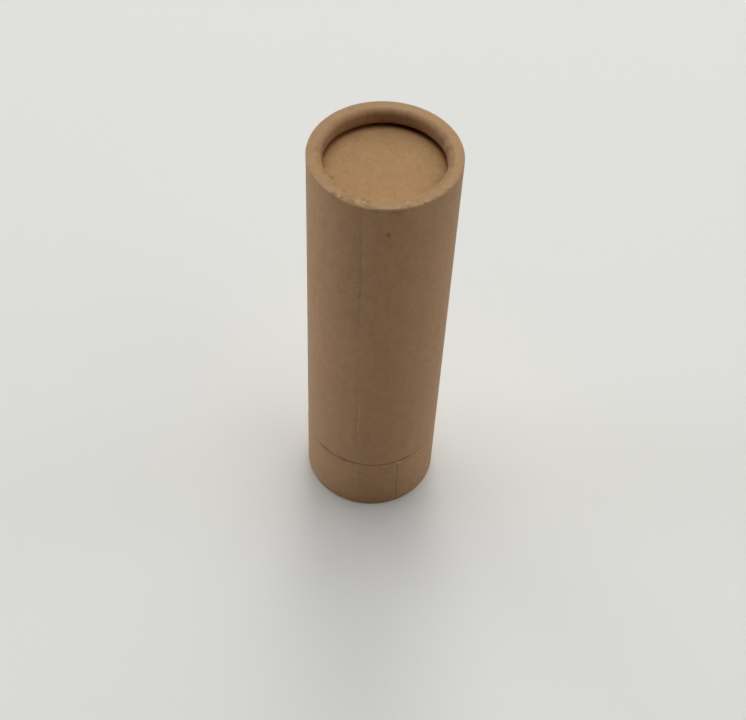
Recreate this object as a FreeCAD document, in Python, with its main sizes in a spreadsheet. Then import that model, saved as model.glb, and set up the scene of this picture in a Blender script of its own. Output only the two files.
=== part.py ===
import FreeCAD, Part
import os
import math
import Sketcher

# Cardboard push-up tube, closed and standing on its rolled bottom rim.
# Frame: origin at the centre of the bottom rim, +Z up along the tube's axis,
# -Y towards the side that carries the lap seams of the kraft wrap. Millimetres.

doc = FreeCAD.newDocument("push_up_tube")

# ---------------------------------------------------------------- dimensions
sheet = doc.addObject("Spreadsheet::Sheet", "dims")
DIMS = [
    ("outer_radius", 17.5),         # kraft-wrapped outside of cap and collar
    ("total_height", 115.0),        # bottom rim to top rim, closed
    ("collar_height", 19.1),        # bottom rim to the collar's cut edge
    ("seam_gap", 0.2),              # hairline between the collar's edge and the cap's mouth
    ("cap_bore_radius", 16.3),      # cap wall 1.2
    ("tube_radius", 16.1),          # outside of the product tube, 0.2 clear of the cap
    ("tube_bore_radius", 15.0),     # product tube wall 1.1
    ("rim_corner", 0.45),           # the crisp outer corner of a rim
    ("rim_flat_radius", 15.35),     # where the flat of a rim ends and turns into the recess
    ("rim_round", 1.4),             # radius of that soft turn
    ("wall_lean", 4.0),             # degrees that the rolled wall leans into the recess
    ("leg_back_radius", 15.5),      # back of the rolled wall
    ("leg_web", 1.2),               # board left over the ring of air between the two walls
    ("recess_depth", 4.2),          # top of a rim to the end of its rolled wall
    ("curl_height", 1.5),           # the last of the rolled wall curls away from the recess
    ("curl_width", 0.85),           # by this much
    ("cap_disc_thickness", 1.5),
    ("disc_gap", 1.0),              # product tube's top edge to the cap's disc
    ("push_disc_radius", 14.8),     # 0.2 clear of the product tube's bore
    ("push_disc_thickness", 1.5),
    ("push_disc_lift", 0.1),        # clearance over the rolled wall that stops it
    ("push_ring_wall", 1.0),
    ("push_ring_height", 8.0),
    ("lap_step", 0.12),             # one thickness of the kraft wrap
    ("lap_root", 0.4),              # how deep the lap's section is let into the wall
    ("cap_lap_angle", -103.0),      # degrees from +X, where the cap's wrap ends
    ("collar_lap_angle", -64.0),    # the collar's wrap ends further round
    ("lap_spread", 26.0),           # degrees over which a lap dies away
]
sheet.set("A1", "name")
sheet.set("B1", "value")
for row, (alias, value) in enumerate(DIMS, start=2):
    sheet.set("A%d" % row, alias)
    sheet.set("B%d" % row, repr(value))
    sheet.setAlias("B%d" % row, alias)
doc.recompute()


def dim(alias):
    return float(getattr(sheet, alias))


# ------------------------------------------------------------------- helpers
UP = FreeCAD.Vector(0, 0, 1)
subparts = []


def new_body(label):
    body = doc.addObject("PartDesign::Body", label)
    body.Label = label
    body.Placement = FreeCAD.Placement(FreeCAD.Vector(0, 0, 0), FreeCAD.Rotation())
    subparts.append(body)
    return body


def new_sketch(body, name, role):
    sketch = body.newObject("Sketcher::SketchObject", name)
    origin_plane = [f for f in body.Origin.OriginFeatures if getattr(f, "Role", "") == role][0]
    sketch.AttachmentSupport = [(origin_plane, "")]
    sketch.MapMode = "FlatFace"
    return sketch


def vec(x, y):
    return FreeCAD.Vector(x, y, 0)


def line(sketch, x1, y1, x2, y2):
    return sketch.addGeometry(Part.LineSegment(vec(x1, y1), vec(x2, y2)), False)


def arc(sketch, cx, cy, radius, start, end):
    circle = Part.Circle(vec(cx, cy), UP, radius)
    return sketch.addGeometry(Part.ArcOfCircle(circle, math.radians(start), math.radians(end)), False)


def rule(sketch, *args):
    return sketch.addConstraint(Sketcher.Constraint(*args))


def bound(sketch, name, expression, *args):
    """A named dimension of the sketch, bound to the sheet."""
    index = rule(sketch, *args)
    sketch.renameConstraint(index, name)
    sketch.setExpression("Constraints." + name, expression)


def radius_of(sketch, geo, point, name, value, expression):
    bound(sketch, name, expression, "DistanceX", -1, 1, geo, point, value)


def height_of(sketch, geo, point, name, value, expression):
    bound(sketch, name, expression, "DistanceY", -1, 1, geo, point, value)


def join(sketch, a, a_end, b, b_end):
    rule(sketch, "Coincident", a, a_end, b, b_end)


def revolve(body, sketch, name):
    feature = body.newObject("PartDesign::Revolution", name)
    feature.Profile = sketch
    feature.ReferenceAxis = (sketch, ["V_Axis"])
    feature.Angle = 360.0
    return feature


def turned(label, inner, outer, low, high):
    """A plain turned piece: a rectangle revolved about the tube's axis. Each of
    inner, outer, low and high is (value, expression); an inner of None makes a
    solid disc, with its section's edge on the axis."""
    body = new_body(label)
    sk = new_sketch(body, label + "_section", "XZ_Plane")
    r0 = inner[0] if inner else 0.0
    r1, z0, z1 = outer[0], low[0], high[0]
    bottom = line(sk, r0, z0, r1, z0)
    outside = line(sk, r1, z0, r1, z1)
    top = line(sk, r1, z1, r0, z1)
    inside = line(sk, r0, z1, r0, z0)
    join(sk, bottom, 2, outside, 1)
    join(sk, outside, 2, top, 1)
    join(sk, top, 2, inside, 1)
    join(sk, inside, 2, bottom, 1)
    rule(sk, "Horizontal", bottom)
    rule(sk, "Vertical", outside)
    rule(sk, "Horizontal", top)
    rule(sk, "Vertical", inside)
    if inner:
        radius_of(sk, inside, 2, "inner_radius", r0, inner[1])
    else:
        rule(sk, "PointOnObject", inside, 2, -2)
    radius_of(sk, outside, 1, "outer_radius", r1, outer[1])
    height_of(sk, bottom, 1, "low", z0, low[1])
    height_of(sk, top, 1, "high", z1, high[1])
    revolve(body, sk, label + "_turn")
    return body


def lap(body, name, angle_cell, low, length, low_expression, length_expression):
    """The lapped end of the kraft wrap on a rolled tube: a sharp step of one
    paper thickness at the given angle, which dies away round the tube. Its
    section lies square to the axis and is let into the wall behind it."""
    ro, step, root, spread = dim("outer_radius"), dim("lap_step"), dim("lap_root"), dim("lap_spread")
    a0 = math.radians(dim(angle_cell))
    a1 = a0 + math.radians(spread)
    sk = new_sketch(body, name + "_section", "XY_Plane")

    def at(radius, angle):
        return vec(radius * math.cos(angle), radius * math.sin(angle))

    foot, top = at(ro - root, a0), at(ro + step, a0)
    far, near = at(ro - 0.05, a1), at(ro - root, a1)
    edge = line(sk, foot.x, foot.y, top.x, top.y)
    skin_arc = Part.Arc(top, at(ro + 0.6 * step, 0.5 * (a0 + a1)), far)
    skin = sk.addGeometry(skin_arc, False)
    end = line(sk, far.x, far.y, near.x, near.y)
    back = line(sk, near.x, near.y, foot.x, foot.y)
    made = sk.Geometry[skin]
    first, last = (1, 2) if made.StartPoint.distanceToPoint(top) < 1e-6 else (2, 1)
    join(sk, edge, 2, skin, first)
    join(sk, skin, last, end, 1)
    join(sk, end, 2, back, 1)
    join(sk, back, 2, edge, 1)
    start_text = "dims.%s * 1 deg" % angle_cell
    end_text = "(dims.%s + dims.lap_spread) * 1 deg" % angle_cell
    for geo, point, tag, p, radius, text in (
        (edge, 1, "foot", foot, "(dims.outer_radius - dims.lap_root)", start_text),
        (edge, 2, "top", top, "(dims.outer_radius + dims.lap_step)", start_text),
        (end, 1, "far", far, "(dims.outer_radius - 0.05)", end_text),
        (end, 2, "near", near, "(dims.outer_radius - dims.lap_root)", end_text),
    ):
        bound(sk, tag + "_x", "%s * cos(%s)" % (radius, text), "DistanceX", -1, 1, geo, point, p.x)
        bound(sk, tag + "_y", "%s * sin(%s)" % (radius, text), "DistanceY", -1, 1, geo, point, p.y)
    bound(sk, "skin_radius", "dims.outer_radius * %.9f" % (made.Radius / ro), "Radius", skin, made.Radius)
    sk.AttachmentOffset = FreeCAD.Placement(FreeCAD.Vector(0, 0, low), FreeCAD.Rotation())
    sk.setExpression("AttachmentOffset.Base.z", low_expression)
    pad = body.newObject("PartDesign::Pad", name)
    pad.Profile = sk
    pad.Length = length
    pad.setExpression("Length", length_expression)
    return pad


def rolled(label, wall_radius, wall_cell, cut, cut_expression, crest, way):
    """A wound tube with one end rolled inward, turned from its section. The
    wall runs from its cut edge to the rim, turns a crisp outer corner, runs
    flat across the rim, rounds over the soft inner corner and comes back as
    the rolled wall. That wall leans a little into the recess, and its end curls
    outward and leaves a groove round the recess. The narrow ring of air between
    the two walls is closed.
    crest is the rim's flat: the cell of its height, or None at height 0, and
    way is +1 for a rim at the top of the piece and -1 for one at the bottom."""
    body = new_body(label)
    sk = new_sketch(body, label + "_section", "XZ_Plane")
    ro, web, leg_out = dim("outer_radius"), dim("leg_web"), dim("leg_back_radius")
    corner, soft, deep = dim("rim_corner"), dim("rim_round"), dim("recess_depth")
    flat_in, lean = dim("rim_flat_radius"), dim("wall_lean")
    curl_high, curl_wide = dim("curl_height"), dim("curl_width")
    sin_lean, cos_lean = math.sin(math.radians(lean)), math.cos(math.radians(lean))
    top = dim(crest) if crest else 0.0
    pocket = 0.5 * (wall_radius - leg_out)
    z_corner, z_end, z_fold = (top - way * d for d in (corner, deep, web + pocket))
    # the leaning face, from the end of the soft turn to the start of the curl
    face_r, face_z = flat_in - soft * cos_lean, top - way * soft * (1 - sin_lean)
    curl_r = face_r - math.tan(math.radians(lean)) * (deep - curl_high - soft * (1 - sin_lean))
    curl_z = top - way * (deep - curl_high)
    # the curl leaves that face along its line and ends at the foot
    sweep = 2 * (math.degrees(math.atan2(curl_wide, curl_high)) + lean)
    curl_radius = math.hypot(curl_wide, curl_high) / (2 * math.sin(math.radians(sweep / 2)))

    edge = line(sk, wall_radius, cut, ro, cut)
    outside = line(sk, ro, cut, ro, z_corner)
    flat = line(sk, ro - corner, top, flat_in, top)
    leg_face = line(sk, face_r, face_z, curl_r, curl_z)
    leg_edge = line(sk, curl_r + curl_wide, z_end, leg_out, z_end)
    leg_back = line(sk, leg_out, z_end, leg_out, z_fold)
    inside = line(sk, wall_radius, z_fold, wall_radius, cut)
    # an arc's first end lies clockwise of its second
    if way > 0:
        bend = arc(sk, ro - corner, z_corner, corner, 0, 90)
        over = arc(sk, flat_in, top - soft, soft, 90, 180 - lean)
        curl = arc(sk, curl_r + curl_radius * cos_lean, curl_z - curl_radius * sin_lean,
                   curl_radius, 180 - lean, 180 - lean + sweep)
        fold = arc(sk, leg_out + pocket, z_fold, pocket, 0, 180)
        first, last = 1, 2
    else:
        bend = arc(sk, ro - corner, z_corner, corner, 270, 360)
        over = arc(sk, flat_in, top + soft, soft, 180 + lean, 270)
        curl = arc(sk, curl_r + curl_radius * cos_lean, curl_z + curl_radius * sin_lean,
                   curl_radius, 180 + lean - sweep, 180 + lean)
        fold = arc(sk, leg_out + pocket, z_fold, pocket, 180, 360)
        first, last = 2, 1
    join(sk, edge, 2, outside, 1)
    join(sk, outside, 2, bend, first)
    join(sk, bend, last, flat, 1)
    join(sk, flat, 2, over, first)
    join(sk, over, last, leg_face, 1)
    rule(sk, "Tangent", leg_face, 2, curl, first)
    join(sk, curl, last, leg_edge, 1)
    join(sk, leg_edge, 2, leg_back, 1)
    join(sk, leg_back, 2, fold, last)
    join(sk, fold, first, inside, 1)
    join(sk, inside, 2, edge, 1)
    for level in (edge, leg_edge):
        rule(sk, "Horizontal", level)
    for upright in (outside, leg_back, inside):
        rule(sk, "Vertical", upright)
    rule(sk, "Horizontal", outside, 2, bend, 3)
    rule(sk, "Vertical", flat, 1, bend, 3)
    rule(sk, "Vertical", flat, 2, over, 3)
    rule(sk, "Horizontal", leg_back, 2, fold, 3)
    rule(sk, "Horizontal", inside, 1, fold, 3)

    rise = ("dims.%s " % crest if crest else "0 ") + ("- " if way > 0 else "+ ")
    turn = "dims.rim_round * (1 - sin(dims.wall_lean * 1 deg))"
    face_text = "dims.rim_flat_radius - dims.rim_round * cos(dims.wall_lean * 1 deg)"
    curl_text = (face_text + " - tan(dims.wall_lean * 1 deg)"
                 " * (dims.recess_depth - dims.curl_height - %s)" % turn)
    radius_of(sk, outside, 1, "outer_radius", ro, "dims.outer_radius")
    radius_of(sk, inside, 2, "wall_radius", wall_radius, "dims." + wall_cell)
    radius_of(sk, flat, 2, "flat_inner_radius", flat_in, "dims.rim_flat_radius")
    radius_of(sk, leg_face, 1, "face_radius", face_r, face_text)
    height_of(sk, leg_face, 1, "face_height", face_z, rise + turn)
    radius_of(sk, leg_face, 2, "curl_start_radius", curl_r, curl_text)
    height_of(sk, leg_face, 2, "curl_start", curl_z, rise + "(dims.recess_depth - dims.curl_height)")
    radius_of(sk, leg_edge, 1, "curl_end_radius", curl_r + curl_wide, curl_text + " + dims.curl_width")
    radius_of(sk, leg_edge, 2, "leg_back_radius", leg_out, "dims.leg_back_radius")
    height_of(sk, edge, 1, "cut_edge", cut, cut_expression)
    if crest:
        height_of(sk, flat, 1, "rim", top, "dims." + crest)
        rule(sk, "Horizontal", flat)
    else:
        rule(sk, "PointOnObject", flat, 1, -1)
        rule(sk, "PointOnObject", flat, 2, -1)
    height_of(sk, outside, 2, "corner_height", z_corner, rise + "dims.rim_corner")
    height_of(sk, leg_edge, 1, "leg_end", z_end, rise + "dims.recess_depth")
    height_of(sk, inside, 1, "fold_height", z_fold,
              rise + "(dims.leg_web + (dims.%s - dims.leg_back_radius) / 2)" % wall_cell)
    revolve(body, sk, label + "_turn")
    return body


H, Zc, rec = dim("total_height"), dim("collar_height"), dim("recess_depth")
Rb, Rt = dim("cap_bore_radius"), dim("tube_radius")
mouth = Zc + dim("seam_gap")
corner = dim("rim_corner")

# cap_tube: the long wound tube, its rolled rim at the top and its mouth below.
cap_tube = rolled("cap_tube", Rb, "cap_bore_radius",
                  mouth, "dims.collar_height + dims.seam_gap", "total_height", 1)
lap(cap_tube, "cap_lap", "cap_lap_angle", mouth, H - corner - mouth,
    "dims.collar_height + dims.seam_gap",
    "dims.total_height - dims.rim_corner - dims.collar_height - dims.seam_gap")

# base_collar: the short wound tube round the foot of the product tube, to
# which it is glued. The tube stands on the flat of its rolled rim.
base_collar = rolled("base_collar", Rt, "tube_radius", Zc, "dims.collar_height", None, -1)
lap(base_collar, "collar_lap", "collar_lap_angle", corner, Zc - corner,
    "dims.rim_corner", "dims.collar_height - dims.rim_corner")

# ------------------------------------------------------------- plain turnings
# cap_disc: pressed up against the end of the cap's rolled wall and glued there.
disc_top = H - rec
disc_low = disc_top - dim("cap_disc_thickness")
turned("cap_disc", None,
       (Rb, "dims.cap_bore_radius"),
       (disc_low, "dims.total_height - dims.recess_depth - dims.cap_disc_thickness"),
       (disc_top, "dims.total_height - dims.recess_depth"))

# inner_tube: the product tube. It stands on the end of the collar's rolled
# wall, is glued in the collar, and reaches almost to the cap's disc.
tube_top = disc_low - dim("disc_gap")
turned("inner_tube",
       (dim("tube_bore_radius"), "dims.tube_bore_radius"),
       (Rt, "dims.tube_radius"),
       (rec, "dims.recess_depth"),
       (tube_top, "dims.total_height - dims.recess_depth - dims.cap_disc_thickness - dims.disc_gap"))

# push_disc: the loose disc in the product tube, down on the rolled wall.
push_low = rec + dim("push_disc_lift")
push_top = push_low + dim("push_disc_thickness")
turned("push_disc", None,
       (dim("push_disc_radius"), "dims.push_disc_radius"),
       (push_low, "dims.recess_depth + dims.push_disc_lift"),
       (push_top, "dims.recess_depth + dims.push_disc_lift + dims.push_disc_thickness"))

# push_ring: glued on the disc, it keeps the disc square as it is pushed up.
turned("push_ring",
       (dim("push_disc_radius") - dim("push_ring_wall"), "dims.push_disc_radius - dims.push_ring_wall"),
       (dim("push_disc_radius"), "dims.push_disc_radius"),
       (push_top, "dims.recess_depth + dims.push_disc_lift + dims.push_disc_thickness"),
       (push_top + dim("push_ring_height"),
        "dims.recess_depth + dims.push_disc_lift + dims.push_disc_thickness + dims.push_ring_height"))

doc.recompute()

# -------------------------------------------------------------------- output
for obj in doc.Objects:
    for state in obj.State:
        if state in ("Invalid", "Error"):
            raise RuntimeError("%s is %s" % (obj.Name, state))

os.makedirs("parts", exist_ok=True)
for body in subparts:
    shape = body.Shape
    if shape.isNull() or not shape.isValid() or len(shape.Solids) != 1:
        raise RuntimeError("%s has no single valid solid" % body.Label)
for body in subparts:
    body.Shape.exportStep("parts/%s.step" % body.Label)
    box = body.Shape.BoundBox
    print("%-12s volume %9.1f  r %.2f  z %.2f to %.2f"
          % (body.Label, body.Shape.Volume, max(box.XMax, -box.YMin), box.ZMin, box.ZMax))
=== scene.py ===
"""Looks of the cardboard push-up tube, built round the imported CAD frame.

Lengths in this file are millimetres until mesh_piece() and the light and camera
code turn them into metres. Azimuths run counter-clockwise from +X, so the side
that faces the camera is near -90 degrees.
"""
import math

import bpy
import numpy as np
from mathutils import Matrix, Vector


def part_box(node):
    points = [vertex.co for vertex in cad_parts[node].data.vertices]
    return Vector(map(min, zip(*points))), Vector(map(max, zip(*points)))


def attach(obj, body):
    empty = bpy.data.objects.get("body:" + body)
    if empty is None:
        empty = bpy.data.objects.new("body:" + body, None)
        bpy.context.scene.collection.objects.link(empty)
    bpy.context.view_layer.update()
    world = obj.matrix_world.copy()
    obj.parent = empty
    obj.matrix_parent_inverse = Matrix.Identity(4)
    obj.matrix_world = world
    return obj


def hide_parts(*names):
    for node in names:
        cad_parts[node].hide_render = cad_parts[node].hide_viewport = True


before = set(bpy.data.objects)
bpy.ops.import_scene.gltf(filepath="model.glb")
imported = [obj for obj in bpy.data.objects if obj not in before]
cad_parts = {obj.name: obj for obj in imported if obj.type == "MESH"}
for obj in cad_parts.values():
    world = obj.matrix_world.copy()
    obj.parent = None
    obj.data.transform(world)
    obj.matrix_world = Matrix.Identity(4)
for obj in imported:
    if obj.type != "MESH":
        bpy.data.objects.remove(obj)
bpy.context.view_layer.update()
scene = bpy.context.scene

MM = 0.001
R_OUT = 17.5                 # outside of cap and collar
HEIGHT = 115.0
FLAT_R = 15.35               # inner edge of the rim's flat
SOFT = 1.4                   # radius of the turn from the flat to the rolled wall
LEAN = 4.0                   # degrees by which the rolled wall leans into the recess
LEG_BACK = 15.5              # hidden back of the rolled wall
CORNER = 0.45                # radius of the outer corner of the rim
RECESS = 4.2                 # depth of the recess inside the rim
CURL_H = 1.8                 # height and width of the curl at the rolled wall's foot
CURL_W = 1.0
FALL = 0.5                   # how far the disc's face falls towards its edge
FALL_SWING = 0.1             # and how much that varies round the tube
FALL_FROM = 11.3             # radius where the fall starts
BULGE = 0.25                 # one wide pleat of the cap's rolled wall
STEP = 0.12                  # thickness of the kraft wrap where it laps
SPREAD = 26.0                # degrees over which a lap dies away


# ------------------------------------------------------------ node boxes, in mm
def node_box(name):
    low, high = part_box(name)
    return [v / MM for v in low], [v / MM for v in high]


cap_low, cap_high = node_box("cap_tube")
collar_low, collar_high = node_box("base_collar")
disc_low, disc_high = node_box("cap_disc")
tube_low, tube_high = node_box("inner_tube")
push_low, push_high = node_box("push_disc")
ring_low, ring_high = node_box("push_ring")
MOUTH = cap_low[2]
COLLAR_TOP = collar_high[2]


# ------------------------------------------------------------------ small maths
def smooth(x, a, b):
    """0 below a, 1 above b, smooth between (a may be above b)."""
    t = np.clip((np.asarray(x, float) - a) / (b - a), 0.0, 1.0)
    return t * t * (3.0 - 2.0 * t)


def bump(x, centre, width):
    """A smooth hump of height 1, half as high at centre +- width / 2."""
    return np.exp(-np.log(2.0) * ((np.asarray(x, float) - centre) * 2.0 / width) ** 2)


def turn(phi, centre):
    """Signed degrees from centre to phi, in -180 to 180."""
    return (np.asarray(phi, float) - centre + 180.0) % 360.0 - 180.0


def ripple(phi, t, seed, first, last, length, power=0.5):
    """Smooth noise, about +-1, periodic in phi (degrees) and drifting along t."""
    rng = np.random.default_rng(seed)
    total, weight = 0.0, 0.0
    for k in range(first, last + 1):
        a = k ** -power
        for _ in range(2):
            shift, drift = rng.uniform(0, 360), rng.normal() / length
            total = total + a * np.cos(np.radians(k * phi + shift + 360.0 * drift * t))
            weight += a * a
    return total / math.sqrt(weight)


# --------------------------------------------------------------- section outline
def fillet(p0, p1, p2, radius, steps):
    """Points that round the corner p1 of the run p0-p1-p2."""
    p0, p1, p2 = (np.array(p, float) for p in (p0, p1, p2))
    a, b = p0 - p1, p2 - p1
    la, lb = np.linalg.norm(a), np.linalg.norm(b)
    a, b = a / la, b / lb
    half = 0.5 * math.acos(max(-1.0, min(1.0, float(a @ b))))
    reach = radius / math.tan(half)
    limit = 0.49 * min(la, lb)
    if reach > limit:
        reach, radius = limit, limit * math.tan(half)
    centre = p1 + (a + b) / np.linalg.norm(a + b) * radius / math.sin(half)
    s, e = p1 + a * reach - centre, p1 + b * reach - centre
    t0, t1 = math.atan2(s[1], s[0]), math.atan2(e[1], e[0])
    d = (t1 - t0 + math.pi) % (2 * math.pi) - math.pi
    return [tuple(centre + radius * np.array([math.cos(t0 + d * i / steps), math.sin(t0 + d * i / steps)]))
            for i in range(steps + 1)]


def outline(corners, closed=True):
    """corners is [(r, z, radius, steps, spacing)]: each is rounded, and the run
    after it is divided so that no row is wider than spacing."""
    n = len(corners)
    parts = []
    for i, (r, z, radius, steps, _) in enumerate(corners):
        if radius and (closed or 0 < i < n - 1):
            p0, p2 = corners[i - 1][:2], corners[(i + 1) % n][:2]
            parts.append(fillet(p0, (r, z), p2, radius, steps))
        else:
            parts.append([(r, z)])
    out = []
    for i in range(n if closed else n - 1):
        out += parts[i]
        a, b = np.array(parts[i][-1]), np.array(parts[(i + 1) % n][0])
        runs = max(1, int(math.ceil(np.linalg.norm(b - a) / corners[i][4])))
        out += [tuple(a + (b - a) * k / runs) for k in range(1, runs)]
    if not closed:
        out += parts[-1]
    pts = np.array(out)
    keep = np.ones(len(pts), bool)
    gap = np.linalg.norm(pts - np.roll(pts, 1, 0), axis=1)
    keep[gap < 1e-4] = False
    if not closed:
        keep[0] = True
    return pts[keep]


def normals_of(pts, closed=True):
    ahead, back = np.roll(pts, -1, 0), np.roll(pts, 1, 0)
    if not closed:
        ahead[-1], back[0] = pts[-1], pts[0]
    d = ahead - back
    d /= np.linalg.norm(d, axis=1)[:, None]
    return np.stack([d[:, 1], -d[:, 0]], 1)


# --------------------------------------------------------------------- columns
def columns(spacing, radius):
    """Offsets in degrees from a lap edge, crowded beside it."""
    near = np.array([0.015, 0.05, 0.11, 0.20, 0.33, 0.52, 0.78]) / radius * 180 / math.pi
    fill_from = near[-1]
    n = int(round((360.0 - 2 * fill_from) / (spacing / radius * 180 / math.pi)))
    fill = np.linspace(fill_from, 360.0 - fill_from, n + 1)
    return np.concatenate([near[:-1], fill, (360.0 - near[:-1])[::-1]])


def mesh_piece(name, r, phi, z, attributes=None, closed=True, slots=None, flip=False):
    """A closed turning. r, phi (degrees) and z are rows by columns, in mm. With
    closed False, the first and the last row close to a point on the axis."""
    rows, cols = r.shape
    x, y = r * np.cos(np.radians(phi)), r * np.sin(np.radians(phi))
    co = np.stack([x, y, z + 0 * r], 2).reshape(-1, 3) * MM
    index = np.arange(rows * cols).reshape(rows, cols)
    lower, upper = (index, np.roll(index, -1, 0)) if closed else (index[:-1], index[1:])
    right = lambda a: np.roll(a, -1, 1)
    quads = np.stack([lower, right(lower), right(upper), upper], 2).reshape(-1, 4)
    row_of = np.repeat(np.arange(lower.shape[0]), cols)
    faces = quads.tolist()
    if not closed:
        first, last = len(co), len(co) + 1
        ends = np.array([[0, 0, z[0].mean() * MM], [0, 0, z[-1].mean() * MM]])
        co = np.vstack([co, ends])
        faces += [[first, int(b), int(a)] for a, b in zip(index[0], np.roll(index[0], -1))]
        faces += [[last, int(a), int(b)] for a, b in zip(index[-1], np.roll(index[-1], -1))]
        row_of = np.concatenate([row_of, np.zeros(cols, int), np.full(cols, rows - 2)])
    if flip:
        faces = [f[::-1] for f in faces]
    mesh = bpy.data.meshes.new(name)
    mesh.from_pydata([tuple(c) for c in co], [], faces)
    for key, values in (attributes or {}).items():
        flat = np.broadcast_to(values, r.shape).reshape(-1).astype(np.float32)
        if not closed:
            flat = np.concatenate([flat, [flat[:cols].mean(), flat[-cols:].mean()]]).astype(np.float32)
        mesh.attributes.new(key, "FLOAT", "POINT").data.foreach_set("value", flat)
    mesh.polygons.foreach_set("use_smooth", np.ones(len(faces), bool))
    if slots is not None:
        mesh.polygons.foreach_set("material_index", np.asarray(slots)[row_of].astype(np.int32))
    mesh.update()
    mesh.validate()
    obj = bpy.data.objects.new(name, mesh)
    scene.collection.objects.link(obj)
    return obj


# ------------------------------------------------------------ the rolled tubes
def rolled_section(bore, cut, way):
    """Section of a wound tube with a rolled rim. way is +1 for the cap, rim up, and -1 for the collar, rim down."""
    top = HEIGHT if way > 0 else 0.0
    foot = top - way * RECESS
    pocket = 0.5 * (bore - LEG_BACK)
    roof = top - way * 1.2
    lean = math.radians(LEAN)
    over = [(FLAT_R - SOFT * math.sin(a), top - way * SOFT * (1 - math.cos(a)), 0, 0, 0.30)
            for a in np.linspace(0, math.pi / 2 - lean, 11)]
    r0 = over[-1][0] - math.tan(lean) * (RECESS - CURL_H - SOFT * (1 - math.sin(lean)))
    # The curl leaves the leaning wall along its line and ends at the foot.
    chord = math.atan2(CURL_W, CURL_H)
    sweep = 2 * (chord + lean)
    bend = math.hypot(CURL_W, CURL_H) / (2 * math.sin(sweep / 2))
    curl = [(r0 + bend * (math.cos(lean) - math.cos(sweep * k / 9 - lean)),
             foot + way * (CURL_H - bend * (math.sin(lean) + math.sin(sweep * k / 9 - lean))), 0, 0, 0.3)
            for k in range(10)]
    corners = [
        (R_OUT, cut, 0.09, 3, 0.17),
        (R_OUT, cut + way * 2.3, 0, 0, 2.4),
        (R_OUT, top - way * 2.7, 0, 0, 0.16),
        (R_OUT, top, CORNER, 8, 0.30),
        *over,
        *curl,
        (LEG_BACK, foot, 0.12, 3, 1.0),
        (LEG_BACK, roof, pocket * 0.98, 4, 0.4),
        (bore, roof, pocket * 0.98, 4, 8.0),
        (bore, cut, 0.09, 3, 0.25),
    ]
    pts = outline(corners)
    return pts


def along_wrap(pts, cut, way):
    """Arc length of each row from the cut edge, following the wrap."""
    step = np.linalg.norm(np.diff(pts, axis=0), axis=1)
    return np.concatenate([[0.0], np.cumsum(step)])


def lap_height(away):
    """Height of the overlap at `away` degrees past the lap edge, as a share."""
    rise = smooth(away, -0.045, 0.07)
    fall = 1.0 - smooth(away, 2.0, SPREAD)
    return np.where(away < -1.0, 0.0, rise * fall)


# Wear on the front of the cap's rim: azimuth, radius, and amount, which is
# above 0 where paper fibres stand up pale and below 0 where paper is gone.
CHIPS = [
    (-136.0, 16.7, 0.5), (-132.5, 16.3, 0.35), (-126.0, 16.1, 0.5), (-124.0, 16.75, 1.3), (-110.3, 16.0, 0.65),
    (-108.0, 16.45, 1.0), (-104.2, 16.8, 0.7), (-104.0, 15.9, 0.55), (-96.0, 15.8, 0.3), (-89.0, 16.3, 0.3),
    (-85.0, 16.5, 0.35), (-70.3, 15.75, 0.75), (-78.0, 16.6, 0.3), (-57.0, 17.0, 0.4), (-119.0, 16.3, 0.3),
    (-122.0, 16.9, -1.1), (-128.5, 17.0, -0.5), (-116.0, 17.05, -0.7), (-113.0, 16.85, -0.9), (-110.5, 17.05, -0.4),
    (-102.0, 15.5, -0.8), (-101.5, 16.95, -0.9), (-98.0, 17.05, -0.5), (-105.5, 15.2, -0.9), (-99.8, 15.5, -0.4),
    (-124.0, 15.0, -0.5), (-113.5, 14.95, -0.5), (-73.2, 15.0, -0.6), (-71.0, 17.0, -0.8), (-75.5, 17.0, -0.4),
    (-33.5, 17.0, 0.7), (-36.0, 17.2, -0.7), (-58.5, 17.2, -0.6), (-53.0, 17.25, -0.6), (-49.5, 17.2, -0.4), (-131.8, 17.0, 0.6),
    (-141.0, 15.1, -0.5), (-66.0, 15.6, -0.4), (-136.5, 14.75, -0.5), (-103.5, 16.4, -0.4), (-130.0, 17.1, -0.4),
]

# The seam between cap and collar, by azimuth: how wide it gapes, as a share, and how dark its gap is painted, a painted
# shade; where it is below 0 the seam is painted pale instead, a painted light that hides the shade of its groove.
SEAM_AT = [-160, -150, -143, -139, -135, -132, -128, -125, -122, -119, -114, -110, -106, -98, -90, -75, -66, -61, -57, -53, -50,
           -44, -20, 10, 60, 120, 160]
SEAM_GAPE_AND_SHADE = [-0.5, -0.3, 0.1, 0.8, 1.4, 2.3, 1.3, 0.8, 0.3, 0.9, 1.8, 1.0, 0.1, 0.0, 0.0, 0.0, 0.1, 1.5, 1.9, 0.5, -0.5,
        -0.7, -0.6, 0.2, 0.5, 0.3, 0.6]

# How much darker the turn of the cap's rim is painted, by azimuth: a painted shade.
TURN_SHADE_AT = [-180, -150, -120, -105, -90, -75, -60, -45, -30, -15, 0, 15, 30, 45, 60, 150, 165, 180]
TURN_SHADE = [0.15, 0.13, 0.13, 0.12, 0.07, 0.10, 0.06, 0.09, 0.20, 0.21, 0.22, 0.20, 0.17, 0.08, 0.03, 0.0, 0.10, 0.15]


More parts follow.
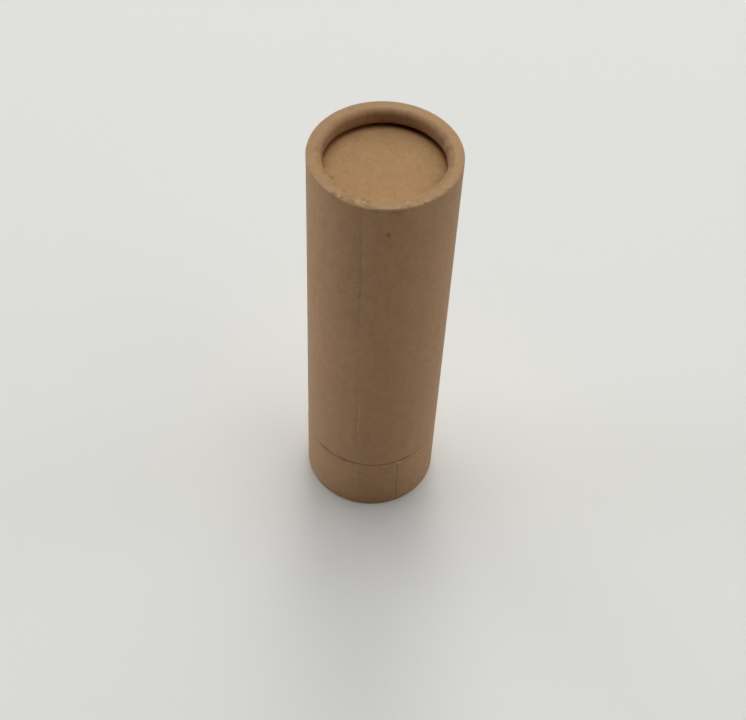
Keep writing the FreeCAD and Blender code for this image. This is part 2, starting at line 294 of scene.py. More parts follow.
def rolled_tube(name, bore, cut, way, lap_angle, seed, lap_press):
    pts = rolled_section(bore, cut, way)
    nrm = normals_of(pts) * way                    # outward for both mirror images
    t = along_wrap(pts, cut, way)
    wall_end = abs((HEIGHT if way > 0 else 0.0) - cut)
    foot_z = (HEIGHT if way > 0 else 0.0) - way * RECESS
    on_wrap = t < wall_end + 3.2 + RECESS - 0.8
    outside = pts[:, 0] > R_OUT - 0.02

    offs = columns(0.165, R_OUT)
    lap_line = lap_angle(t)                        # degrees, one per row
    phi = lap_line[:, None] + offs[None, :]
    away = turn(phi, lap_line[:, None])
    T = t[:, None] + 0 * phi
    rim_t = wall_end                               # t where the rim begins
    down = T - rim_t                               # mm past the outer corner

    # The wrap's overlap, pressed flat where it turns over the rim, and lying
    # closer to the wall on some stretches than on others.
    lift = STEP * lap_height(away) * smooth(down, -0.5, -2.2) * lap_press(T)

    # Out of round by a few hundredths, and faint flats along the winding.
    shape = 0.030 * ripple(phi, T, seed, 2, 5, 260.0) + 0.008 * ripple(phi, T, seed + 1, 6, 17, 160.0)
    shape = shape * outside[:, None]

    # Pleats where the wall is rolled inward: none at the outer corner, most at
    # the foot, some of them sharp.
    gather = smooth(down, 0.6, 3.4) * (T < wall_end + 3.2 + RECESS + 0.4)
    soft = 0.030 * ripple(phi, 0 * T, seed + 2, 9, 34, 1.0, 0.3)
    rng = np.random.default_rng(seed + 3)
    sharp = 0 * phi
    for centre in np.concatenate([rng.uniform(0, 360, 26), [99.8, 94.3, 73.2, 68.4] if way > 0 else []]):
        width, deep = rng.uniform(0.8, 1.7), rng.uniform(0.04, 0.10)
        sharp = sharp - deep * bump(turn(phi, centre + 0.5 * down), 0.0, width)
    pleat = gather * (soft + sharp * smooth(down, 1.8, 4.2))
    if way > 0:
        pleat = pleat - 0.16 * bump(turn(phi, 2.0), 0.0, 50.0) * bump(down, 3.1, 1.7)
        pleat = pleat + BULGE * bump(turn(phi, 118.0), 0.0, 46.0) * smooth(down, 2.4, 6.0) * (T < wall_end + 3.2 + RECESS + 0.4)

    # Dents and fraying of the outer corner.
    edge = bump(down, 0.0, 1.3)
    frayed, hollow, fuzz = 0 * phi, 0 * phi, 0 * phi
    rng = np.random.default_rng(seed + 4)
    marks = list(zip(rng.uniform(0, 360, 22), rng.uniform(0.8, 3.0, 22), rng.uniform(0.15, 0.55, 22)))
    if way > 0:
        marks += [(-124.0, 1.6, 0.7), (-120.5, 1.4, 0.5), (-112.6, 1.8, 0.6), (-108.2, 1.5, 0.7), (-103.6, 2.2, 0.7),
                  (-95.0, 1.5, 0.45), (-61.0, 1.3, 0.5)]
    for centre, width, amount in marks:
        h = bump(turn(phi, centre), 0.0, width)
        frayed = frayed + amount * h
        hollow = hollow + amount * bump(turn(phi, centre + 0.4 * width), 0.0, 1.2 * width)
    fine = ripple(phi, T, seed + 5, 60, 130, 9.0, 0.0)
    nick = -0.070 * edge * hollow + 0.05 * edge * frayed * (0.4 + 0.6 * fine)
    if way > 0:
        # the corner is knocked rounder on the left of the front
        nick = nick - 0.32 * bump(down, 0.0, 1.9) * smooth(np.abs(turn(phi, -112.0)), 20.0, 8.0)
    frayed = np.clip(frayed, 0, 1) * bump(down, -0.15, 1.1) * smooth(fine, -0.9, 0.9)
    chipped = 0 * phi
    if way > 0:
        for i, (centre, radius, amount) in enumerate(CHIPS):
            wide, tall = (2.0, 2.8, 2.3)[i % 3], (0.55, 0.45, 0.65, 0.5)[i % 4]
            spot = 1.6 * amount * bump(turn(phi, centre), 0.0, wide) * bump(down, R_OUT - 0.19 - radius, tall)
            frayed = frayed + np.maximum(spot, 0.0)
            chipped = chipped + np.maximum(-spot, 0.0)
        nick = nick + 0.04 * frayed - 0.07 * chipped

    # A crease under the front of the cap's rim, in two strokes that overlap; it is dented a little and painted dark, a
    # painted shade.
    crease_and_shade = 0 * phi
    if way > 0:
        line = wall_end - 0.78 - 0.006 * (phi + 88.0) + 0.05 * np.sin(np.radians(9 * phi))
        crease_and_shade = bump(T, line, 0.50) * (0.45 * bump(turn(phi, -95.0), 0.0, 15.0) + 1.0 * bump(turn(phi, -80.5), 0.0, 6.0))
        crease_and_shade = crease_and_shade + 0.55 * bump(T, line - 0.80, 0.36) * bump(turn(phi, -79.5), 0.0, 9.0)
    nick = nick - 0.05 * crease_and_shade

    d = lift + shape + pleat + nick
    d = np.where(on_wrap[:, None], d, 0.0)
    r = pts[:, 0][:, None] + d * nrm[:, 0][:, None]
    z = pts[:, 1][:, None] + d * nrm[:, 1][:, None]

    # Nothing stands above the flat of the rim.
    z = np.minimum(z, HEIGHT) if way > 0 else np.maximum(z, 0.0)

    # The knife-cut edge is not quite straight.
    near_cut = smooth(np.abs(pts[:, 1] - cut), 1.6, 0.0)[:, None] * (pts[:, 0] > bore - 0.05)[:, None]
    ragged = 0.022 * ripple(phi, 0, seed + 6, 3, 22, 1.0, 0.4) + 0.007 * ripple(phi, 0, seed + 7, 70, 150, 1.0, 0.0)
    z = z + near_cut * np.clip(ragged, -0.06, 0.06)
    seam = np.interp(turn(phi, 0.0), SEAM_AT, SEAM_GAPE_AND_SHADE, period=360.0)
    z = z + near_cut * way * 0.045 * np.maximum(seam, 0.0)

    # Marks for the material.
    here = on_wrap[:, None] * np.ones_like(phi)
    turn_t = wall_end + (R_OUT - FLAT_R) - 0.2     # t where the flat ends
    past = T - turn_t
    # the flat is rubbed pale, right into the turn at the back but not at the front; its tint is partly rubbed paper and
    # partly painted light, the cooler light that falls on the top, and the turn is painted darker, a painted shade
    near = smooth(np.sin(np.radians(phi)), 0.2, -0.4)
    rub_and_top_light = smooth(down, -0.9, 0.3) * smooth(past + 0.85 * near, 1.2 - 0.1 * near, -0.3) * here
    shade_and_chips = smooth(past, -0.15, 0.45) * smooth(past, 4.6, 2.0) * here
    yellow = near * smooth(past, -1.1, 0.0) * smooth(past, 4.6, 2.0) * here
    if way > 0:
        # painted shade in the turn, by azimuth, deepest at the right
        front = np.interp(turn(phi, 0.0), TURN_SHADE_AT, TURN_SHADE)
        shade_and_chips = shade_and_chips * front * (0.85 + 0.35 * ripple(phi, 0 * T, seed + 8, 12, 40, 1.0, 0.3))
        # painted light: the rubbed flat is painted lighter towards the back right and darker towards the front left
        shade_and_chips = shade_and_chips - 0.05 * np.cos(np.radians(phi - 25.0)) * rub_and_top_light
        shade_and_chips = shade_and_chips + 0.25 * chipped * here
    else:
        shade_and_chips = shade_and_chips * 0.05
    # painted shadow in the corner beside the foot of the lap step
    lap_shadow_line = np.exp(-((away + 0.50) / 0.60) ** 2) * here * smooth(down, -0.8, -2.5)
    # painted shade in the seam gap, and painted light where the seam is below 0
    painted_seam_shade = 0.75 * seam * bump(T, 0.0, 1.5) * here
    # partly pale cut paper, partly a painted highlight on the lit cut edge of the lap
    pale_cut_and_highlight = np.exp(-((away - 0.42) / 0.42) ** 2) * here * smooth(down, -0.8, -2.5)
    lap_flat_shade = 0 * phi
    if way > 0:
        # painted shade: beside the lap, above the middle, the paper is painted darker, for the shade of the flat that
        # the lap leaves in the winding
        lap_flat_shade = smooth(away, -24.0, -14.0) * smooth(away, 1.3, 0.2) * here * smooth(down, -0.2, -1.2)
        lap_flat_shade = lap_flat_shade * np.interp(z, [68.0, 78.0, 108.0], [0.0, 0.8, 1.0]) * (0.75 + 0.25 * smooth(away, -9.0, -3.0))
        # the painted shadow beside the foot of the lap is strongest on stretches near the top and the middle of the
        # wall; lower down the lap's cut edge has lifted and carries a painted highlight, partly pale cut paper
        lap_shadow_line = lap_shadow_line * (0.25 + 0.75 * np.clip(bump(z, 100.0, 7.0) + bump(z, 88.5, 8.0) + 0.8 * bump(z, 45.0, 30.0), 0, 1))
        edge_at = 0.42 + 1.1 * smooth(z, 34.0, 40.0)
        pale_cut_and_highlight = 0.10 * pale_cut_and_highlight + np.exp(-((away - edge_at) / 0.50) ** 2) * here * (
            4.8 * bump(z, 35.5, 6.5) * smooth(z, 30.8, 33.4) + 1.5 * bump(z, 46.0, 13.0))
        # painted shadow: a broad soft dark beside the lap on the lower part of the wall
        shade_and_chips = shade_and_chips + 0.035 * np.exp(-((away + 1.4) / 1.5) ** 2) * here * bump(z, 43.0, 26.0)
    face = np.array([1 if (abs(p[1] - cut) < 0.06) else (0 if on_wrap[i] else 2) for i, p in enumerate(pts)])
    both = np.maximum(face, np.roll(face, -1))
    both[(face == 0) & (np.roll(face, -1) == 1)] = 1
    piece = {
        "r": r, "phi": phi, "z": z, "t": T, "away": away, "down": down, "pts": pts, "faces": both,
        "attributes": {"foot": lap_shadow_line, "seam": painted_seam_shade, "cut_pale_and_highlight": pale_cut_and_highlight, "fray": frayed * here, "crease_and_shade": crease_and_shade * here,
                       "rub_and_top_light": rub_and_top_light, "yellow": yellow, "shade_and_chips": shade_and_chips + 0.095 * lap_flat_shade},
    }
    return piece


def cap_lap(t):
    z = MOUTH + t
    base = np.interp(z, [20, 37, 55, 70, 84, 96, 107, 125], [-101.6, -101.9, -102.9, -103.0, -103.0, -103.6, -104.3, -104.6])
    return base + 0.10 * np.sin(z / 7.3)


def collar_lap(t):
    return -64.0 + 0.12 * np.sin((COLLAR_TOP - t) / 3.1)


def cap_press(t):
    z = MOUTH + t
    loose = bump(z, 108.5, 2.5) + bump(z, 98.5, 6.0) + bump(z, 86.7, 5.0) + bump(z, 45.0, 34.0)
    return 0.30 + 0.35 * np.clip(loose, 0.0, 1.0) * (0.8 + 0.2 * np.sin(z * 1.9))


cap = rolled_tube("cap", 16.3, MOUTH, +1, cap_lap, 11, cap_press)
cap_shell = mesh_piece("cap_tube_shell", cap["r"], cap["phi"], cap["z"], cap["attributes"], slots=cap["faces"])

collar = rolled_tube("collar", 16.1, COLLAR_TOP, -1, collar_lap, 41, lambda t: 0.8 + 0 * t)
# The collar's outer ply stops short of the cut edge beside its lap, and the
# corner of the lap has lifted a little.
around = turn(collar["phi"], 0.0)
short = np.interp(around, [-66.0, -65.2, -62.0, -60.5, -54.0, -51.5], [0.0, 1.0, 1.0, 0.62, 0.5, 0.0])
under = smooth(collar["t"], 1.35, 1.05) * (collar["t"] < 2.0)
on_out = collar["pts"][:, 0][:, None] > R_OUT - 0.3
collar["r"] -= 0.16 * smooth(short, 0.1, 0.5) * under * on_out
lifted = bump(collar["t"], 1.6, 1.5) * np.where(collar["away"] > -0.06, np.exp(-np.maximum(collar["away"], 0) / 1.5), 0)
collar["r"] += 0.10 * lifted * on_out
# painted highlight on the ledge where the outer ply stops short, partly pale cut paper
collar["attributes"]["cut_pale_and_highlight"] = np.maximum(
    collar["attributes"]["cut_pale_and_highlight"],
    6.0 * short * smooth(collar["t"], 0.15, 0.45) * smooth(collar["t"], 1.45, 1.05) * on_out)
# painted shadow under the lifted corner of the lap, and a fainter painted shadow along the lap below it
collar["attributes"]["foot"] = np.maximum(
    collar["attributes"]["foot"] * (0.45 + 0.55 * smooth(collar["t"], 7.0, 2.5)),
    2.2 * bump(collar["t"], 1.6, 1.5) * np.exp(-((collar["away"] + 0.45) / 0.7) ** 2) * on_out)
collar_shell = mesh_piece("base_collar_shell", collar["r"], collar["phi"], collar["z"], collar["attributes"],
                          slots=collar["faces"], flip=True)


# ------------------------------------------------------------------- the discs
def disc_piece(name, low, high, radius, seed, drop, rough, top_marks=(), shade=0.0, cols=320):
    """A pressed board disc: its upper face falls towards the edge by
    drop(r, phi), and its lower face is plain."""
    corners = [(0.35, high, 0, 0, 0.45), (radius, high, 0.28, 5, 0.35), (radius, low, 0.12, 3, 0.9), (0.35, low, 0, 0, 1)]
    pts = outline(corners, closed=False)[::-1]
    phi = np.linspace(0, 360, cols, endpoint=False)[None, :] + 0 * pts[:, :1]
    r, z = pts[:, :1] + 0 * phi, pts[:, 1:] + 0 * phi
    t = pts[:, :1] + 0 * phi
    face = (pts[:, 1] > 0.5 * (low + high))[:, None]
    z = z - face * drop(r, phi) * smooth(z, low, high - 0.3)
    z = z + face * rough * smooth(r, radius - 0.4, radius - 1.5) * (
        0.6 * ripple(phi, r, seed, 1, 4, 30.0, 0.3) * smooth(r, 0.0, 6.0)
        + 0.4 * ripple(phi, r, seed + 1, 4, 14, 9.0, 0.2) * smooth(r, 2.0, 9.0))
    marks = 0 * phi
    for az, rad, size, amount in top_marks:
        x, y = r * np.cos(np.radians(phi)), r * np.sin(np.radians(phi))
        gap = np.hypot(x - rad * math.cos(math.radians(az)), y - rad * math.sin(math.radians(az)))
        marks = marks + amount * np.exp(-(gap / size) ** 2) * face
    z = z - 0.10 * marks
    # painted shade and light: a little darker towards two sides of the face, and paler at its near part
    side = np.cos(np.radians(phi))
    marks = marks + shade * face * (smooth(r, 5.0, 12.5) * (side ** 2 + 0.4 * np.maximum(-side, 0.0))
                                    - 0.6 * smooth(r * np.sin(np.radians(phi)), 2.0, -9.0))
    # browner in the groove along its edge
    brown = face * smooth(r, 12.6, 14.4) * (0.3 + 0.7 * np.abs(side))
    return mesh_piece(name, r, phi, z, {"mark_and_shade": marks, "brown": brown}, closed=False)


# The cap's disc is visible in the recess. Its edge is pressed down, most at the
# back right, and leaves a dark groove under the foot of the rolled wall.
def shoulder(r, phi):
    return 0.2 + (FALL + FALL_SWING * np.cos(np.radians(phi - 60.0))) * smooth(r, FALL_FROM, 15.8)


cap_face = disc_piece(
    "cap_disc_board", disc_low[2], disc_high[2], 16.3, 71,
    shoulder, 0.022,
    [(-161.0, 12.1, 0.75, 1.1), (-151.0, 12.0, 0.50, 0.9), (-178.0, 13.6, 0.8, 0.8),
     (-13.0, 12.6, 0.55, 0.8), (-17.0, 12.0, 0.55, 0.5), (-144.2, 13.0, 0.5, 0.8), (-136.2, 13.2, 0.45, 0.7),
     (96.3, 6.5, 0.7, 0.35), (-102.0, 3.8, 0.9, 0.3), (-57.9, 7.8, 0.6, 0.3)], 0.20)
push_face = disc_piece("push_disc_board", push_low[2], push_high[2], 14.8, 83, lambda r, phi: 0.05 * smooth(r, 11.8, 13.7), 0.015)


# ------------------------------------------------------------- the plain tubes
def plain_tube(name, inner, outer, low, high, seed, spacing, seam, cols_mm):
    """A wound tube with both ends cut square and one flat seam down its side."""
    corners = [(outer, low, 0.10, 3, spacing), (outer, high, 0.12, 3, 0.3),
               (inner, high, 0.10, 3, spacing), (inner, low, 0.10, 3, 0.3)]
    pts = outline(corners)
    nrm = normals_of(pts)
    offs = columns(cols_mm, outer)
    phi = seam + offs[None, :] + 0 * pts[:, :1]
    away = turn(phi, seam)
    out_face = (pts[:, 0] > outer - 0.02)[:, None]
    wall = out_face | (pts[:, 0] < inner + 0.02)[:, None]
    d = 0.012 * ripple(phi, pts[:, 1:], seed, 2, 9, 240.0) * wall
    d = d - 0.05 * np.exp(-(away / 0.5) ** 2) * out_face          # the butt joint of the outer ply
    r, z = pts[:, :1] + d * nrm[:, :1], pts[:, 1:] + d * nrm[:, 1:]
    end = (np.abs(pts[:, 1] - high) < 0.05) | (np.abs(pts[:, 1] - low) < 0.05)
    rag = 0.012 * ripple(phi, 0, seed + 1, 4, 30, 1.0, 0.3)
    z = z + rag * (np.abs(pts[:, 1:] - high) < 1.0)
    marks = np.exp(-((away + 0.2) / 0.6) ** 2) * out_face
    slots = (end & np.roll(end, -1)).astype(int)
    return mesh_piece(name, r, phi, z, {"foot": 0.7 * marks}, slots=slots)


inner_shell = plain_tube("inner_tube_shell", 15.0, 16.1, tube_low[2], tube_high[2], 101, 3.2, -70.0, 0.26)
ring_shell = plain_tube("push_ring_shell", 13.8, 14.8, ring_low[2], ring_high[2], 121, 1.6, 35.0, 0.30)


# -------------------------------------------------------------------- materials
class Nodes:
    """Short names for building a node tree."""

    def __init__(self, name):
        self.mat = bpy.data.materials.new(name)
        self.mat.use_nodes = True
        self.tree = self.mat.node_tree
        self.tree.nodes.clear()
        self.out = self.tree.nodes.new("ShaderNodeOutputMaterial")

    def link(self, a, b):
        self.tree.links.new(a, b)

    def put(self, socket, value):
        if isinstance(value, bpy.types.NodeSocket):
            self.link(value, socket)
        elif value is not None:
            socket.default_value = value

    def maths(self, op, a, b=None, c=None, clamp=False):
        n = self.tree.nodes.new("ShaderNodeMath")
        n.operation, n.use_clamp = op, clamp
        for s, v in zip(n.inputs, (a, b, c)):
            self.put(s, v)
        return n.outputs[0]

    def vector(self, op, a, b=None, scale=None):
        n = self.tree.nodes.new("ShaderNodeVectorMath")
        n.operation = op
        self.put(n.inputs[0], a)
        if b is not None:
            self.put(n.inputs[1], b)
        if scale is not None:
            n.inputs["Scale"].default_value = scale
        return n.outputs["Value"] if op in ("LENGTH", "DISTANCE", "DOT_PRODUCT") else n.outputs[0]

    def noise(self, where, scale, detail=2.0, rough=0.5, distort=0.0, seed=None):
        n = self.tree.nodes.new("ShaderNodeTexNoise")
        if seed is not None:
            n.noise_dimensions = "4D"
            n.inputs["W"].default_value = seed
        self.put(n.inputs["Vector"], where)
        n.inputs["Scale"].default_value = scale
        n.inputs["Detail"].default_value = detail
        n.inputs["Roughness"].default_value = rough
        n.inputs["Distortion"].default_value = distort
        return n.outputs["Fac"]

    def ramp(self, value, a, b, low=0.0, high=1.0):
        """low where value is at or under a, high at or over b, smooth between."""
        n = self.tree.nodes.new("ShaderNodeMapRange")
        n.interpolation_type = "SMOOTHSTEP"
        self.put(n.inputs["Value"], value)
        n.inputs["From Min"].default_value = a
        n.inputs["From Max"].default_value = b
        n.inputs["To Min"].default_value = low
        n.inputs["To Max"].default_value = high
        return n.outputs["Result"]

    def mix(self, share, a, b, kind="MIX"):
        n = self.tree.nodes.new("ShaderNodeMix")
        n.data_type, n.blend_type = "RGBA", kind
        n.clamp_factor = True
        self.put(n.inputs["Factor"], share)
        for socket, value in ((n.inputs[6], a), (n.inputs[7], b)):
            self.put(socket, (*value, 1.0) if isinstance(value, tuple) and len(value) == 3 else value)
        return n.outputs[2]

    def attribute(self, name):
        n = self.tree.nodes.new("ShaderNodeAttribute")
        n.attribute_type = "GEOMETRY"
        n.attribute_name = name
        return n.outputs["Fac"]

    def object_mm(self):
        n = self.tree.nodes.new("ShaderNodeTexCoord")
        return self.vector("SCALE", n.outputs["Object"], scale=1000.0)

    def stretched(self, where, sx, sy, sz, turn_deg=(0, 0, 0)):
        n = self.tree.nodes.new("ShaderNodeMapping")
        self.put(n.inputs["Vector"], where)
        n.inputs["Rotation"].default_value = [math.radians(a) for a in turn_deg]
        n.inputs["Scale"].default_value = (sx, sy, sz)
        return n.outputs["Vector"]

    def thread(self, where, scale, seed, width, distort=0.0):
        """Thin curved lines: where a noise crosses its middle, broken by another."""
        n = self.noise(where, scale, 1.0, 0.4, distort, seed)
        line = self.ramp(self.maths("ABSOLUTE", self.maths("SUBTRACT", n, 0.5)), width, 0.0)
        gate = self.ramp(self.noise(where, scale * 1.7, 1.0, 0.5, 0.0, seed + 7.3), 0.50, 0.60)
        return self.maths("MULTIPLY", line, gate)

    def grey(self, value):
        n = self.tree.nodes.new("ShaderNodeCombineColor")
        for s in n.inputs[:3]:
            self.put(s, value)
        return n.outputs[0]

    def finish(self, colour, rough, height, depth, specular, sheen=0.0, sheen_rough=0.5):
        p = self.tree.nodes.new("ShaderNodeBsdfPrincipled")
        self.put(p.inputs["Base Color"], colour)
        self.put(p.inputs["Roughness"], rough)
        p.inputs["Specular IOR Level"].default_value = specular
        p.inputs["Sheen Weight"].default_value = sheen
        p.inputs["Sheen Roughness"].default_value = sheen_rough
        b = self.tree.nodes.new("ShaderNodeBump")
        b.inputs["Strength"].default_value = 1.0
        b.inputs["Distance"].default_value = depth * MM
        self.put(b.inputs["Height"], height)
        self.link(b.outputs["Normal"], p.inputs["Normal"])
        self.link(p.outputs[0], self.out.inputs["Surface"])
        return self.mat


def kraft(name, base, seed, streaks=1.0, mottle=1.0, spots=(), rough=0.74, wear_and_shade=True, marks=False, specular=0.24,
          sheen=0.05):
    """Unbleached kraft paper: cloudy colour, long fibres, a few dark shives, faint streaks along the winding, and the
    wear, painted shade and painted light that the piece carries."""
    m = Nodes(name)
    at = m.object_mm()
    # Cloudiness at several scales, about 1.
    drift = m.noise(at, 0.045, 2.0, 0.5, 0.3, seed)
    cloud = m.noise(at, 0.24, 3.0, 0.55, 0.2, seed + 1)
    blotch = m.noise(m.stretched(at, 1.0, 1.0, 0.6), 0.62, 1.0, 0.5, 0.3, seed + 10)
    grainy = m.noise(at, 1.15, 3.0, 0.6, 0.0, seed + 2)
    fine = m.noise(at, 5.5, 2.0, 0.6, 0.0, seed + 3)
    streak = m.noise(m.stretched(at, 0.75, 0.75, 0.018), 1.0, 3.0, 0.6, 0.0, seed + 4)
    tone = m.maths("MULTIPLY_ADD", m.maths("SUBTRACT", drift, 0.5), 0.10 * mottle, 1.0)
    for value, amount in ((cloud, 0.17 * mottle), (blotch, 0.22 * mottle), (grainy, 0.34 * mottle), (fine, 0.13),
                          (streak, 0.12 * streaks)):
        tone = m.maths("MULTIPLY_ADD", m.maths("SUBTRACT", value, 0.5), amount, tone)
    light_fibre = m.thread(m.stretched(at, 1.0, 1.0, 0.55), 1.6, seed + 5, 0.012, 0.6)
    dark_fibre = m.thread(m.stretched(at, 1.0, 1.0, 0.6, (20, 35, 10)), 1.25, seed + 6, 0.011, 0.8)
    tone = m.maths("MULTIPLY_ADD", light_fibre, 0.13, tone)
    tone = m.maths("MULTIPLY_ADD", dark_fibre, -0.15, tone)
    # Shives: sparse dark flecks.
    cells = m.tree.nodes.new("ShaderNodeTexVoronoi")
    cells.feature, cells.distance = "F1", "EUCLIDEAN"
    m.put(cells.inputs["Vector"], m.stretched(at, 0.42, 0.42, 0.30, (0, 25, 15)))
    cells.inputs["Scale"].default_value = 1.0
    cells.inputs["Randomness"].default_value = 1.0
    chance = m.tree.nodes.new("ShaderNodeSeparateColor")
    m.link(cells.outputs["Color"], chance.inputs[0])
    fleck = m.maths("MULTIPLY", m.ramp(cells.outputs["Distance"], 0.085, 0.02), m.ramp(chance.outputs[0], 0.80, 0.84))
    tone = m.maths("MULTIPLY_ADD", fleck, -0.22, tone)
    # Hue wanders a little between yellower and redder paper.
    redder = tuple(b * k for b, k in zip(base, (1.012, 0.988, 0.972)))
    yellower = tuple(b * k for b, k in zip(base, (0.992, 1.006, 1.008)))
    hue = m.ramp(m.noise(at, 0.11, 2.0, 0.5, 0.4, seed + 8), 0.36, 0.64)
    colour = m.mix(hue, redder, yellower)
    for x, y, z, size, depth in spots:
        gap = m.vector("LENGTH", m.vector("MULTIPLY", m.vector("SUBTRACT", at, (x, y, z)), (1.0, 1.0, 0.66)))
        uneven = m.maths("MULTIPLY_ADD", m.maths("SUBTRACT", grainy, 0.5), size * 0.45, gap)
        tone = m.maths("MULTIPLY_ADD", m.ramp(uneven, size, size * 0.35), -depth, tone)
    height = m.maths("MULTIPLY_ADD", fine, 0.30, m.maths("MULTIPLY", grainy, 0.55))
    height = m.maths("MULTIPLY_ADD", light_fibre, 0.20, height)
    height = m.maths("MULTIPLY_ADD", streak, 0.35 * streaks, height)
    rough_now = m.maths("MULTIPLY_ADD", m.maths("SUBTRACT", cloud, 0.5), 0.16, rough)
    if wear_and_shade:
        foot, cut = m.attribute("foot"), m.attribute("cut_pale_and_highlight")
        seam = m.attribute("seam")
        worn, crease_and_shade = m.attribute("fray"), m.attribute("crease_and_shade")
        rub_and_top_light, shade_and_chips = m.attribute("rub_and_top_light"), m.attribute("shade_and_chips")
        broken = m.ramp(m.noise(m.stretched(at, 0.5, 0.5, 0.14), 1.0, 2.0, 0.6, 0.0, seed + 9), 0.34, 0.60, 0.35, 1.0)
        # painted shadow beside the laps of the rolled tubes; on the plain tubes, their dark butt joints
        tone = m.maths("MULTIPLY_ADD", m.maths("MULTIPLY", foot, broken), -0.17, tone)
        # pale cut paper and painted highlight on cut edges
        tone = m.maths("MULTIPLY_ADD", m.maths("MULTIPLY", cut, broken), 0.10, tone)
        # painted shade in the seam gap, painted light where the seam is below 0
        tone = m.maths("MULTIPLY_ADD", seam, -0.18, tone)
        # painted shade in the crease
        tone = m.maths("MULTIPLY_ADD", crease_and_shade, -0.34, tone)
        # painted shade in the turn and beside the lap, and darker chips
        tone = m.maths("SUBTRACT", tone, shade_and_chips)
        tone = m.maths("MULTIPLY_ADD", worn, 0.12, tone)
        colour = m.mix(rub_and_top_light, colour, m.mix(1.0, colour, (0.99, 1.055, 1.05), "MULTIPLY"))
        colour = m.mix(m.attribute("yellow"), colour, m.mix(1.0, colour, (0.995, 1.035, 0.93), "MULTIPLY"))
        colour = m.mix(m.maths("MULTIPLY", worn, 0.38), colour, tuple(min(1.0, b * k) for b, k in zip(base, (1.32, 1.45, 1.75))))
        rough_now = m.maths("MULTIPLY_ADD", worn, 0.12, rough_now)
    if marks:
        # real marks on the disc, and its painted shade and light
        tone = m.maths("MULTIPLY_ADD", m.attribute("mark_and_shade"), -0.26, tone)
        colour = m.mix(m.attribute("brown"), colour, m.mix(1.0, colour, (1.10, 0.93, 0.72), "MULTIPLY"))
    colour = m.mix(1.0, colour, m.grey(tone), "MULTIPLY")
    return m.finish(colour, rough_now, height, 0.020, specular, sheen)


def board_edge(name, base, seed):
    """A cut board edge: grey-brown plies wound round the axis, a little furry."""
    m = Nodes(name)
    at = m.object_mm()
    split = m.tree.nodes.new("ShaderNodeSeparateXYZ")
    m.link(at, split.inputs[0])
    flat = m.tree.nodes.new("ShaderNodeCombineXYZ")
    m.link(split.outputs[0], flat.inputs[0])
    m.link(split.outputs[1], flat.inputs[1])
    radius = m.vector("LENGTH", flat.outputs[0])
    sway = m.maths("MULTIPLY_ADD", m.noise(at, 0.5, 2.0, 0.5, 0.0, seed), 0.14, radius)
    wave = m.maths("SINE", m.maths("MULTIPLY", sway, 2 * math.pi / 0.34))
    ply = m.ramp(wave, 0.35, 0.95)
    fuzz = m.noise(at, 6.0, 3.0, 0.6, 0.0, seed + 1)
    cloud = m.noise(at, 0.6, 2.0, 0.5, 0.0, seed + 2)
    tone = m.maths("MULTIPLY_ADD", ply, -0.24, 1.04)
    tone = m.maths("MULTIPLY_ADD", m.maths("SUBTRACT", fuzz, 0.5), 0.28, tone)
    tone = m.maths("MULTIPLY_ADD", m.maths("SUBTRACT", cloud, 0.5), 0.14, tone)
    colour = m.mix(1.0, base, m.grey(tone), "MULTIPLY")
    height = m.maths("MULTIPLY_ADD", ply, -0.6, m.maths("MULTIPLY", fuzz, 0.7))
    return m.finish(colour, 0.88, height, 0.05, 0.3, 0.1)


WRAP = (0.424, 0.2375, 0.119)
wrap = kraft("kraft_wrap_paper", WRAP, 3.0, spots=[
    (17.5 * math.cos(math.radians(-85.0)), 17.5 * math.sin(math.radians(-85.0)), 107.4, 0.72, 0.42),
    (17.5 * math.cos(math.radians(-113.0)), 17.5 * math.sin(math.radians(-113.0)), 92.3, 1.1, 0.12),
])
face_board = kraft("kraft_disc_board", (0.434, 0.2490, 0.1135), 23.0, streaks=0.0, mottle=1.15, wear_and_shade=False, marks=True, rough=0.80)
liner = kraft("kraft_liner_paper", (0.443, 0.276, 0.143), 43.0, streaks=1.3, mottle=0.8, rough=0.66)
edge_board = board_edge("board_cut_edge", (0.40, 0.255, 0.145), 61.0)

for obj, mats, slot, body, node in (
    (cap_shell, (wrap, edge_board, liner), "kraft_wrap", "cap", "cap_tube"),
    (cap_face, (face_board,), "kraft_disc", "cap", "cap_disc"),
    (collar_shell, (wrap, edge_board, liner), "kraft_wrap", "base", "base_collar"),
    (inner_shell, (liner, edge_board), "kraft_liner", "base", "inner_tube"),
    (push_face, (face_board,), "kraft_disc", "pusher", "push_disc"),
    (ring_shell, (liner, edge_board), "kraft_liner", "pusher", "push_ring"),
):
    for mat in mats:
        obj.data.materials.append(mat)
    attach(obj, body)
    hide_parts(node)
    # The CAD node that a piece stands for keeps the same finish, though it is hidden.
    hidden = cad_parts[node]
    hidden.data.materials.clear()
    hidden.data.materials.append(mats[0])


# ------------------------------------------------------------------------ floor
def floor_material():
    m = Nodes("plain_floor")
    at = m.object_mm()
    soft_tone = m.noise(at, 0.004, 2.0, 0.5, 0.0, 5.0)
    tone = m.maths("MULTIPLY_ADD", m.maths("SUBTRACT", soft_tone, 0.5), 0.012, 1.0)
    colour = m.mix(1.0, (0.841, 0.82, 0.785), m.grey(tone), "MULTIPLY")
    return m.finish(colour, 0.9, m.noise(at, 1.5, 2.0, 0.5, 0.0, 6.0), 0.004, 0.2)


floor_mesh = bpy.data.meshes.new("floor")
floor_mesh.from_pydata([(-4, -4, 0), (4, -4, 0), (4, 4, 0), (-4, 4, 0)], [], [(0, 1, 2, 3)])
floor = bpy.data.objects.new("floor", floor_mesh)
floor_mesh.materials.append(floor_material())
scene.collection.objects.link(floor)

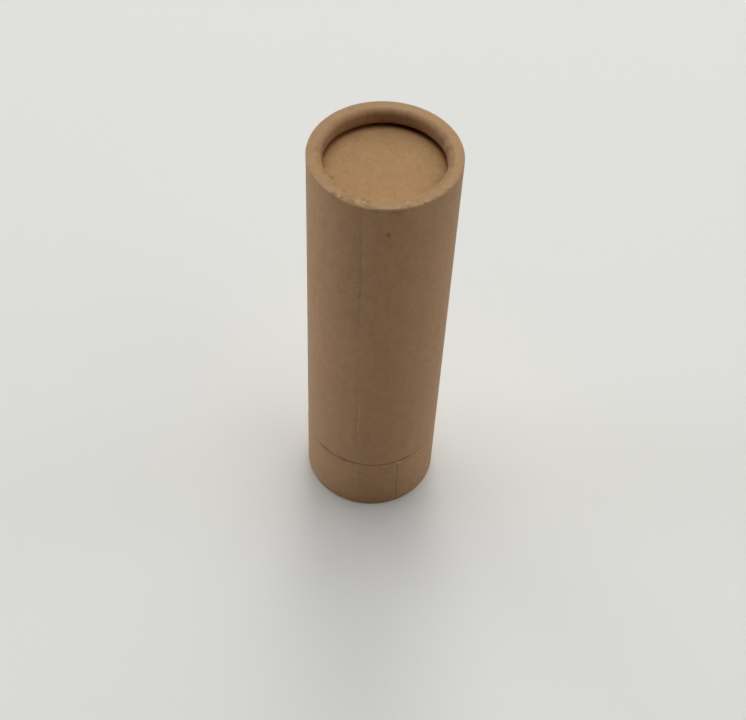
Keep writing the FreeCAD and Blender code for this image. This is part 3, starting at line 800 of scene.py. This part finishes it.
# ----------------------------------------------------------------- light, camera
# name, azimuth, elevation, distance (m), size (m), power (W), colour
DAY = (0.975, 1.0, 1.0)
LIGHTS = [
    ("overhead", 90, 89, 3.0, 1.8, 23.6, DAY),
    ("back_high", 90, 72, 3.0, 1.4, 10.9, DAY),
    ("back", 90, 50, 3.0, 1.4, 10.3, DAY),
    ("back_low", 90, 35, 3.0, 1.4, 15.1, DAY),
    ("back_right_low", 60, 30, 3.0, 1.4, 6.6, DAY),
    ("back_right_high", 45, 60, 3.0, 1.4, 4.7, DAY),
    ("back_left_high", 135, 60, 3.0, 1.4, 7.1, DAY),
    ("back_left_low", 135, 12, 3.0, 1.4, 9.7, DAY),
    ("right_high", 0, 45, 3.0, 1.4, 4.6, DAY),
    ("right_low", 12, 8, 3.0, 1.4, 11.5, (0.92, 1.0, 1.08)),
    ("right_low_back", 30, 8, 3.0, 1.4, 4.0, DAY),
    ("left_low", 180, 8, 3.0, 1.4, 27.5, (0.89, 1.0, 1.10)),
    ("front_right", -30, 50, 3.0, 1.4, 5.4, (1.0, 0.985, 0.95)),
    ("right_back", 20, 30, 3.0, 1.4, 3.4, DAY),
    ("left_back", 160, 30, 3.0, 1.4, 2.7, DAY),
]
TARGET = Vector((0, 0, 0.06))
for name, az, el, distance, size, power, colour in LIGHTS:
    data = bpy.data.lights.new(name, "AREA")
    data.shape, data.size, data.energy, data.color = "DISK", size, power, colour
    light = bpy.data.objects.new(name, data)
    a, e = math.radians(az), math.radians(el)
    towards = Vector((math.cos(a) * math.cos(e), math.sin(a) * math.cos(e), math.sin(e)))
    light.location = TARGET + towards * distance
    light.rotation_euler = towards.to_track_quat("Z", "Y").to_euler()
    scene.collection.objects.link(light)

world = bpy.data.worlds.new("studio")
world.use_nodes = True
back = world.node_tree.nodes["Background"]
back.inputs["Color"].default_value = (1, 1, 1, 1)
back.inputs["Strength"].default_value = 0.01
scene.world = world

PITCH, ROLL = 0.897886, 0.050016
forward = Vector((0, math.cos(PITCH), -math.sin(PITCH)))
right = Vector((1, 0, 0))
up = Vector((0, math.sin(PITCH), math.cos(PITCH)))
r2 = right * math.cos(ROLL) + up * math.sin(ROLL)
u2 = -right * math.sin(ROLL) + up * math.cos(ROLL)
camera_data = bpy.data.cameras.new("camera")
camera_data.lens, camera_data.sensor_width = 63.960, 36.0
camera_data.clip_start, camera_data.clip_end = 0.01, 50.0
camera = bpy.data.objects.new("camera", camera_data)
basis = Matrix((r2, u2, -forward)).transposed().to_4x4()
camera.matrix_world = Matrix.Translation(Vector((-0.434, -216.034, 313.381)) * MM) @ basis
scene.collection.objects.link(camera)
scene.camera = camera
scene.view_settings.view_transform = "Standard"
scene.view_settings.look = "None"
